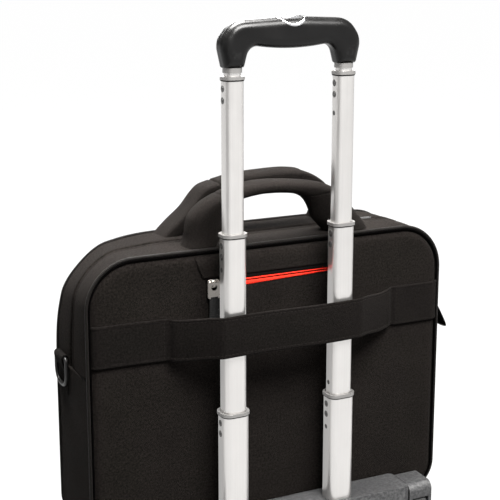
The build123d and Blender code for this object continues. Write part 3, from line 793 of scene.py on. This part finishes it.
# ---------------------------------------------------------------- carry handles
def curve_through(points, count):
    """A smooth line through points of any dimension, evenly spaced along it."""
    p = np.asarray(points, float)
    ends = np.vstack([2 * p[0] - p[1], p, 2 * p[-1] - p[-2]])
    made = []
    for a, b, c, d in zip(ends, ends[1:], ends[2:], ends[3:]):
        t = np.linspace(0, 1, 24, endpoint=False)[:, None]
        made.append(0.5 * (2 * b + (c - a) * t + (2 * a - 5 * b + 4 * c - d) * t**2
                           + (3 * b - a - 3 * c + d) * t**3))
    made = np.vstack([*made, p[-1:]])
    s = lengths(made[:, :4])
    return sampled(np.linspace(0, s[-1], count), s, made)


def handle(name, stations, middle_y, grip, sharp, sleeve, replaces, body):
    """A handle swept through stations of outer x, z, inner x, z and half depth, in mm from the
    case's top. grip gives the x of its two seams, sharp the squareness of its legs and of its
    grip, and sleeve how far the grip stands proud of the legs."""
    rows = curve_through(stations, 300) * MM
    outer, inner, deep = rows[:, 0:2], rows[:, 2:4], rows[:, 4]
    mid, span = (outer + inner) / 2, outer - inner
    fat = np.linalg.norm(span, axis=1) / 2
    lean = span / (2 * fat[:, None])
    s = lengths(mid)
    # A seam's x is looked for above the feet, which reach as far to the sides.
    seams = [float(s[np.argmin(np.abs(mid[:, 0] - x * MM) + 10 * (mid[:, 1] < 0.025))]) for x in grip]
    held = smooth((s - seams[0]) / 0.0024) * smooth((seams[1] - s) / 0.0024)
    swell = sleeve * held
    for seam in seams:
        swell -= 0.0010 * bell(s, seam, 0.0011)
    power = 2 / (sharp[0] + (sharp[1] - sharp[0]) * held)
    rings = []
    for a in around(48):
        c, w = math.cos(a), math.sin(a)
        p = mid + lean * ((fat + swell) * np.sign(c) * np.abs(c) ** power)[:, None]
        p[:, 1] += TOP
        rings.append(at_y(p, middle_y + (deep + swell) * np.sign(w) * np.abs(w) ** power))
    rings = np.stack(rings, 1)
    away = unit(rings - at_y(mid + (0, TOP), middle_y)[:, None])
    flat = rings.reshape(-1, 3)
    lift = soft(flat, 0.022, 0.0006, 5.5) + soft(flat, 0.05, 0.0006, 2.2)
    rings = rings + away * lift.reshape(len(s), -1, 1)
    obj = lofted(name, rings, handle_cloth, None, replaces)
    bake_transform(obj)
    lines = []
    for seam, side in ((seams[0], -1), (seams[1], 1)):
        ring = rings[int(np.argmin(np.abs(s - seam - side * 0.0028)))]
        lines.append((ring[2:47], unit(ring - ring.mean(axis=0))[2:47]))
    sewn(f"{name}_stitches", lines, body, "handle_fabric")


back_stations = [
    (-102, -1.5, -64, -1.5, 17.5), (-98.5, 9, -58.5, 8, 16.5), (-97, 21, -55.5, 18, 16),
    (-93, 34, -51, 33, 16),
    (-81, 46, -43, 43, 16), (-62, 55.5, -31, 48.5, 16), (-34, 63.5, -15, 51, 16), (0, 66, 0, 52, 16),
    (34, 63.3, 15, 51, 16), (68, 57, 31, 48.5, 16.5), (88, 46.5, 43, 43, 17), (100, 34, 51, 33, 17.5),
    (112, 20, 57, 18, 17.5), (121, 9, 66, 8, 17), (127, -1.5, 76, -1.5, 16.5)]
handle("carry_handle_back_cover", back_stations, -0.019, (-46, 61), (2.3, 2.3), 0.0004, ["carry_handle_back"],
       "handle_back")
front_stations = [
    (-104, -1.5, -86, -1.5, 17), (-98, 5, -81, 0.5, 17), (-86, 16, -71, 7.5, 17), (-71, 29, -57, 18, 17),
    (-58, 44, -46, 31, 17), (-50, 51, -39.5, 37.5, 17), (-40, 54.5, -32, 41, 17), (-28, 57.5, -23, 44, 16.5),
    (-10, 61, -8, 47, 16), (15, 62.6, 15, 48.5, 16), (40, 63.6, 36, 49, 16), (60, 63.4, 52, 49, 16),
    (76, 60.5, 67, 46.5, 16.5), (91, 54, 80, 42.5, 17), (104, 44, 91, 34, 17), (111, 32, 97.5, 26, 17),
    (111, 17, 98, 14, 17), (106, -1.5, 91, -1.5, 17)]
handle("carry_handle_front_cover", front_stations, 0.047, (-31, 70), (5.0, 2.8), 0.0014,
       ["carry_handle_front"], "handle_front")

# ---------------------------------------------------------------- side webbing
def ribbon(line, middle_y, half, thick, taper, count, side=1):
    """Rings of a webbing that follows a line of (x, z) points, thinner at its edges by taper;
    side -1 mirrors it."""
    t = np.linspace(-1, 1, count)
    thin = thick * (1 - taper * np.abs(t) ** 10)
    section = [*zip(t, thin), *zip(t[::-1], -thin[::-1])]
    return [[(side * (x + along_z * h), middle_y + half * u, z - along_x * h) for u, h in section]
            for (x, z), (along_x, along_z) in zip(line, unit(np.gradient(line, axis=0)))]


RING_X, TAB_Y, _ = centre_of("d_ring_right")
RING_Z = high("d_ring_right")[2] - 0.002
TAB_LOW = low("ring_tabs")[2]
TAB_HALF, TAB_SEAM = 0.0138, 0.0022
INNER_X, OUTER_X = HALF + 0.0009, HALF + 0.0021
tab_line = [(INNER_X, TAB_LOW), (INNER_X, RING_Z - 0.008), (RING_X - 0.0034, RING_Z)]
tab_line += [(RING_X + 0.0036 * math.cos(a), RING_Z + 0.0036 * math.sin(a))
             for a in np.linspace(math.pi - 0.2, 0, 12)]
tab_line += [(RING_X + 0.0032, RING_Z - 0.004), (RING_X + 0.0008, RING_Z - 0.0105),
             (OUTER_X + 0.0003, RING_Z - 0.0165), (OUTER_X, RING_Z - 0.020), (OUTER_X, TAB_LOW + 0.0006)]
tab_line = curve_through(tab_line, 90)
# The stitches go round a box and along its diagonals.
a, b = TAB_Y - TAB_HALF + TAB_SEAM, TAB_Y + TAB_HALF - TAB_SEAM
c, d = TAB_LOW + TAB_SEAM, RING_Z - 0.0195
BOX = [((a, c), (b, c)), ((b, c), (b, d)), ((b, d), (a, d)), ((a, d), (a, c)), ((a, c), (b, d)),
       ((a, d), (b, c))]
for side, word, replaces in ((-1, "left", ["ring_tabs"]), (1, "right", [])):
    tab = lofted(f"ring_tab_{word}", ribbon(tab_line, TAB_Y, TAB_HALF, 0.00055, 0.45, 17, side), webbing,
                 "case", replaces)
    face = side * (OUTER_X + 0.0006)
    lines = [(np.linspace((face, *p), (face, *q), 20), (side, 0, 0)) for p, q in BOX]
    sewn(f"ring_tab_{word}_stitches", lines, "case", "webbing", stitch=0.0024)


# ---------------------------------------------------------------- zip sliders and pulls
def plate(name, outline, hole, thick, edge, place, finish, body, replaces=()):
    """A flat plate with rounded edges and a hole. outline and hole are closed lists of as many
    points each, and place is the plate's centre and its right, away and up directions."""
    levels = [(edge, -thick / 2), (0.3 * edge, -thick / 2 + 0.3 * edge), (0, -thick / 2 + edge),
              (0, thick / 2 - edge), (0.3 * edge, thick / 2 - 0.3 * edge), (edge, thick / 2)]
    centre, right, away, up = place
    rings = []
    for points, grow, heights in ((outline, -1, levels), (hole, 1, levels[::-1])):
        outwards = unit(points - points.mean(axis=0))
        for inset, high_up in heights:
            flat = points + outwards * grow * inset
            rings.append(centre + flat[:, :1] * right + flat[:, 1:] * up + high_up * away)
    verts, faces = [], []
    add_tube(verts, faces, rings, closed=True)
    return piece(name, verts, faces, finish, body, replaces)


def rounded(half_x, half_z, r, count=8, taper=1.0):
    """A closed rounded rectangle about the origin, narrower at its top by taper."""
    made, _ = corner_arcs(half_x, half_z, r, count)
    made[:, 0] *= 1 + (taper - 1) * (made[:, 1] / half_z + 1) / 2
    return made


def circle(centre, r, count, begin=0.0):
    a = begin + around(count)
    return np.stack([centre[0] + r * np.cos(a), centre[1] + r * np.sin(a)], 1)


def flat_bar(reach):
    """The section of a flat bar with bevelled edges, whose ends reach so far up and down."""
    return [(-1, -reach), (-0.8, -1), (0.8, -1), (1, -reach), (1, reach), (0.8, 1), (-0.8, 1), (-1, reach)]


def slider(word, centre, along, up, body, nodes_replaced, finish=nickel):
    """A zip slider: one plate on the coil, and the bridge that holds its pull. along points
    to the pull and up away from the case."""
    along, up = np.array(along, float), np.array(up, float)
    side = np.cross(up, along)
    shape = rounded(0.0068, 0.0044, 0.0026, taper=0.9)
    hole = circle((0, 0), 0.0004, len(shape), -math.pi / 2)
    plate(f"{word}_slider_plate", shape, hole, 0.0016, 0.0005, (centre - up * 0.0009, side, up, along),
          finish, body, nodes_replaced)
    spine = curve_through([(-0.0040, -0.0004), (-0.0036, 0.0010), (-0.0018, 0.0019), (0.0010, 0.0019),
                           (0.0032, 0.0016), (0.0042, 0.0004), (0.0044, -0.0004)], 30)
    points = centre + spine[:, :1] * along + spine[:, 1:] * up
    width, thick = 0.0034, 0.0009
    normals = np.cross(unit(np.gradient(points, axis=0)), side)
    lofted(f"{word}_slider_bridge", [[p + side * a * width / 2 + n * b * thick / 2 for a, b in flat_bar(0.6)]
                                     for p, n in zip(points, normals)], finish, body)


def zip_pull(word, eye, along, up, length, body, nodes_replaced, finish=nickel, size=1.0):
    """A metal eye with a long soft grip moulded onto it."""
    along, up = np.array(along, float), np.array(up, float)
    side = np.cross(up, along)
    shape = rounded(0.0054 * size, 0.0068 * size, 0.0020 * size)
    hole = circle((0, -0.0018 * size), 0.0023 * size, len(shape), -math.pi / 2)
    plate(f"{word}_pull_eye", shape, hole, 0.0014 * size, 0.0004,
          (eye + along * 0.0022 * size, side, up, along), finish, body)
    begin, end_round, ridge_pitch = 0.0076 * size, 0.003, 0.0024
    rows = []
    for t in np.linspace(0, 1, 70):
        a = begin + (length - begin) * t
        wide = 0.0038 * size + 0.0003 * t
        wide *= math.sqrt(max(0.02, 1 - max(0, (a - length + end_round) / end_round) ** 2))
        thick = 0.0010 + (0.00022 * math.cos(2 * math.pi * a / ridge_pitch) if 0.25 < t < 0.9 else 0.0)
        rows.append([eye + along * a + side * (u * wide) + up * (v * thick) for u, v in flat_bar(0.5)])
    lofted(f"{word}_pull_grip", rows, soft_rubber, body, nodes_replaced)


rear_centre = np.array([*centre_of("rear_slider")[:2], from_top(-32.0)])
rear_eye = np.array([rear_centre[0], rear_centre[1] - 0.0016, high("rear_pull")[2] + 0.0016])
slider("rear_zip", rear_centre, (0, 0, -1), (0, -1, 0), "rear_zip_slider", ["rear_slider"])
zip_pull("rear_zip", rear_eye, (0, 0, -1), (0, -1, 0), rear_eye[2] - low("rear_pull")[2], "rear_zip_pull",
         ["rear_pull"], size=1.4)
main_centre = np.array([low("main_slider")[0] + 0.007, ZIP_MID, centre_of("main_slider")[2]])
main_eye = np.array([low("main_pull")[0] + 0.002, ZIP_MID, centre_of("main_pull")[2]])
slider("main_zip", main_centre, (1, 0, 0), (0, 0, 1), "main_zip_slider", ["main_slider"], gun_metal)
zip_pull("main_zip", main_eye, (1, 0, 0), (0, 0, 1), high("main_pull")[0] - main_eye[0], "main_zip_pull",
         ["main_pull"], gun_metal)

# ---------------------------------------------------------------- seams
xs = np.linspace(-0.084, 0.085, 150)
YOKE_SEAM = from_top(-22.6)
yoke_lines = [([(x, float(back_face(x, YOKE_SEAM)) - 0.0011, YOKE_SEAM) for x in xs], (0, -1, 0))]
for side, top_x, low_x in ((-1, 95, 84.5), (1, 96, 86)):
    run = [(side * (low_x + (top_x - low_x) * t) * MM, from_top(-22.6 + 15.5 * t))
           for t in np.linspace(0, 1, 24)]
    yoke_lines.append(([(x, float(back_face(x, z)) - 0.0010, z) for x, z in run], (0, -1, 0)))
sewn("yoke_stitches", yoke_lines, "case")

gusset_lines = []
run = np.linspace(ZIP_S + 0.004, LENGTH - ZIP_S - 0.004, 700)
p, n, _ = outline_at(run)
for y_seam in (REAR_END - LIP_SEAM, FRONT_START + LIP_SEAM):
    out = at_y(n, 0)
    gusset_lines.append((at_y(p, y_seam) + out * (0.0005 + fullness(run, y_seam))[:, None], out))
for seam_x in (-0.107, -0.1095):
    s_here = float(np.interp(-seam_x, -outline_at(upper)[0][:, 0], upper))
    ys = np.linspace(REAR_START + 0.003, REAR_END - 0.005, 60)
    p, n, _ = outline_at(np.full(60, s_here))
    out = at_y(n, 0)
    gusset_lines.append((at_y(p, ys) + out * (0.0013 + fullness(s_here, ys))[:, None], out))
sewn("zip_stitches", gusset_lines, "case", stitch=0.0026)


# ---------------------------------------------------------------- small fittings on the tubes
def islands(name):
    """Centres and lowest x of a node's separate rivets or pins, which all face along x."""
    verts = np.array([v.co for v in nodes[name].data.vertices])
    found = []
    for side in (-1, 1):
        part = verts[np.sign(verts[:, 0]) == side]
        part = part[np.argsort(part[:, 2])]
        for group in np.split(part, np.nonzero(np.diff(part[:, 2]) > 0.003)[0] + 1):
            found.append(((group.min(axis=0) + group.max(axis=0)) / 2, group[:, 0].min()))
    return found


STAGES = (("outer", "trolley", 0.009), ("middle", "middle_stage", 0.008), ("upper", "upper_stage", 0.007))
# Inner and outer radius of the rims round a rivet, and how proud they are
RIMS = ((0.0029, 0.0035, 0.00006), (0.0007, 0.0016, 0.00012))
RIM_FOOT = -0.0002
for word, body, _ in STAGES:
    verts, faces = [], []
    for centre, face_x in islands(f"{word}_rivets"):
        for inner, outer, proud in RIMS:
            corners = ((inner, RIM_FOOT), (inner, proud), (outer, proud), (outer, RIM_FOOT))
            add_tube(verts, faces, [[(face_x - up, centre[1] + r * math.cos(a), centre[2] + r * math.sin(a))
                                     for a in around(28)] for r, up in corners], closed=True)
    piece(f"{word}_rivet_rims", verts, faces, black_plastic, body)

# A thin near-black band wraps each tube just under its collar: painted shade for the dark line beneath the
# collar. Its section is (out from the tube, up).
COLLAR_SHADE_BAND = ((-0.0004, 0.0002), (0.0007, 0.0002), (0.0007, -0.0009), (0.0003, -0.0012), (-0.0004, -0.0012))
COLLAR_SHADE_DROP = 0.0036
for word, body, corner in STAGES:
    tube = f"{word}_tube_right"
    half_x, half_y, _ = (high(tube) - low(tube)) / 2
    middle_x, middle_y, _ = centre_of(tube)
    z = high(f"{word}_collars")[2] - COLLAR_SHADE_DROP
    verts, faces = [], []
    for side in (-1, 1):
        add_tube(verts, faces, [[(side * middle_x + x, middle_y + y, z + up)
                                 for x, y in rounded(half_x + grow, half_y + grow, corner + grow, 9)]
                                for grow, up in COLLAR_SHADE_BAND], closed=True)
    piece(f"{word}_collar_shade_bands", verts, faces, coil_and_shade_black, body)

# The bezel of the button runs down over the front edge of the grip.
grip_low, grip_high = low("grip_front"), high("grip_front")
EDGE_R, CROWN_R = 0.010, 0.4


def on_grip(x, u):
    """Point and outward normal on the grip; u runs from its flat top over its front edge."""
    bend = min(max(u / EDGE_R, 0.0), math.pi / 2)
    out = np.array([0.0, -math.sin(bend), math.cos(bend)])
    crown = grip_high[2] - 0.5 * x * x / CROWN_R
    y = grip_low[1] + EDGE_R - min(u, 0.0) - EDGE_R * math.sin(bend)
    drop = max(0.0, u - EDGE_R * math.pi / 2)
    return np.array([x, y, crown - EDGE_R + EDGE_R * math.cos(bend) - drop]), out


LIP_REACH, LIP_START = 0.0165, -0.0035
LIP_SECTION = ((-1, -0.0004), (-0.8, 0.0003), (-0.3, 0.0006), (0.3, 0.0006), (0.8, 0.0003), (1, -0.0004))
rings = []
for t in np.linspace(0, math.pi, 49):
    lean_x, lean_u = -math.cos(t), math.sin(t)
    x, u = LIP_REACH * lean_x, LIP_START + LIP_REACH * lean_u
    half_wide = 0.0006 + 0.0013 * math.sin(t)
    ring = []
    for a, rise in LIP_SECTION:
        p, n = on_grip(x + a * half_wide * lean_x, u + a * half_wide * lean_u)
        ring.append(p + n * rise)
    rings.append(ring)
lofted("bezel_lip", rings, chrome, "grip")

# A folded webbing tab stands out from the rear gusset on the right side, given in mm from the
# case's side and top.
SIDE_TAB_HALF = 0.0100
side_line = [(1.4, -84), (2.6, -92), (6.0, -100), (12.5, -111.5), (21.0, -128.5), (19.2, -130.8),
             (11.0, -126.2), (4.5, -116), (1.6, -105)]
side_line = curve_through([(HALF + x * MM, TOP + z * MM) for x, z in side_line], 70)
side_tab = lofted("side_tab_right", ribbon(side_line, -0.019, SIDE_TAB_HALF, 0.0006, 0.4, 15), webbing,
                  "case")

# ---------------------------------------------------------------- finishes on the rest
for names, material in (
    (("outer_tube_left", "outer_tube_right", "middle_tube_left", "middle_tube_right", "upper_tube_left",
      "upper_tube_right", "neck_tube_left", "neck_tube_right"), tube_metal),
    (("outer_collars", "middle_collars", "upper_collars", "ferrules"), collar_metal),
    (("outer_rivets", "middle_rivets", "upper_rivets", "base_screws", "wheel_bolts"), steel),
    (("outer_lock_pins", "middle_lock_pins", "upper_lock_pins", "middle_bushes", "upper_bushes",
      "neck_bushes", "grip_core"), black_plastic),
    (("grip_front", "grip_rear"), grip_plastic),
    (("button_bezel",), chrome),
    (("release_button",), button_metal),
    (("base_tray", "wheel_housing_left", "wheel_housing_right"), base_plastic),
    (("wheel_left", "wheel_right"), hub_plastic),
    (("tyre_left", "tyre_right"), tyre_rubber),
    (("tray_mat", "front_feet"), soft_rubber),
    (("d_ring_left", "d_ring_right"), gun_metal),
):
    for name in names:
        paint(name, material)


# ---------------------------------------------------------------- studio
def stage_plane(name, size, place, material):
    mesh = bpy.data.meshes.new(name)
    half = size / 2
    corners = [(-half, -half, 0), (half, -half, 0), (half, half, 0), (-half, half, 0)]
    mesh.from_pydata(corners, [], [(0, 1, 2, 3)])
    mesh.materials.append(material)
    obj = bpy.data.objects.new(name, mesh)
    obj.location = place
    scene.collection.objects.link(obj)
    return obj


def glow(name, colour, rough, strength, **sockets):
    """A plain white glow, for the floor and for cards that only reflections show."""
    return shader(name, (colour,) * 3, rough, Emission_Color=WHITE, Emission_Strength=strength, **sockets)[0]


floor = stage_plane("floor", 400, (0, 0, 0), glow("floor white", 0.03, 0.95, 0.985, Specular_IOR_Level=0.0))
floor.visible_diffuse = False


def area_light(name, place, aim, size, power, tint=(1, 1, 1)):
    data = bpy.data.lights.new(name, "AREA")
    data.shape = "RECTANGLE"
    data.size, data.size_y = size
    data.energy = power
    data.color = tint
    obj = bpy.data.objects.new(name, data)
    obj.location = place
    obj.rotation_euler = (Vector(aim) - Vector(place)).to_track_quat("-Z", "Y").to_euler()
    scene.collection.objects.link(obj)


WARM = (1, 0.985, 0.965)
area_light("key", (0.15, -1.05, 1.75), (0, 0, 0.42), (1.2, 0.7), 140, WARM)
area_light("overhead", (-0.1, 0.35, 1.9), (0, 0, 0.3), (1.2, 0.8), 190, WARM)
area_light("left", (-2.2, -0.3, 0.9), (0, 0, 0.35), (0.8, 1.4), 5)
area_light("front_side", (0.5, 2.2, 1.3), (0, 0, 0.25), (1.4, 1.0), 45)

# Cards that the camera doesn't see, glowing and shown only in reflections, give the tubes' rounded corners
# their grey stripes; the bright card just off the case's back is a painted reflection that keeps the tubes'
# left faces light in front of the dark back.
card_grey, card_bright = glow("card grey", 0.02, 1.0, 0.25), glow("card bright", 0.02, 1.0, 0.55)
for name, size, place, turn, finish in (
    ("card_left", 1.1, (-1.05, -0.50, 0.55), -64, card_grey),
    ("card_right", 1.2, (1.15, 1.0, 0.6), -49, card_grey),
    ("card_behind", 0.30, (-0.095, BACK_Y - 0.0095, 0.17), 0, card_bright),
):
    card = stage_plane(name, size, place, finish)
    card.rotation_euler = (math.pi / 2, 0, math.radians(turn))
    card.visible_camera = False
    card.visible_diffuse = False
    card.visible_shadow = False

world = bpy.data.worlds.new("studio")
scene.world = world
world.use_nodes = True
tree = world.node_tree
direction = node(tree, "ShaderNodeTexCoord").outputs["Generated"]


def towards(vector, begin, end):
    """0 to 1 as the direction comes within a cone round a vector."""
    dot = node(tree, "ShaderNodeVectorMath", operation="DOT_PRODUCT")
    tree.links.new(direction, dot.inputs[0])
    dot.inputs[1].default_value = vector
    return remap(tree, dot.outputs["Value"], begin, end, 0, 1)


bright = towards((0.42, -0.89, 0.25), 0.3, 0.9)
level = calc(tree, "MULTIPLY_ADD", bright, 0.66, 0.16)
seen = node(tree, "ShaderNodeLightPath").outputs["Is Camera Ray"]
background = tree.nodes["Background"]
background.inputs["Color"].default_value = WHITE
tree.links.new(calc(tree, "MAXIMUM", level, seen), background.inputs["Strength"])

# The view that the camera was fitted to: its lens on a 36 mm sensor, place, heading and pitch
camera_data = bpy.data.cameras.new("camera")
camera = bpy.data.objects.new("camera", camera_data)
scene.collection.objects.link(camera)
camera_data.sensor_width, camera_data.lens, camera_data.shift_y = 36, 86.53, -0.08
camera.location = (-0.582, -1.171, 0.665)
heading, pitch = math.radians(26), math.radians(12.16)
aim = Vector((math.sin(heading) * math.cos(pitch), math.cos(heading) * math.cos(pitch), -math.sin(pitch)))
camera.rotation_euler = aim.to_track_quat("-Z", "Y").to_euler()
scene.camera = camera
scene.view_settings.view_transform = "Standard"
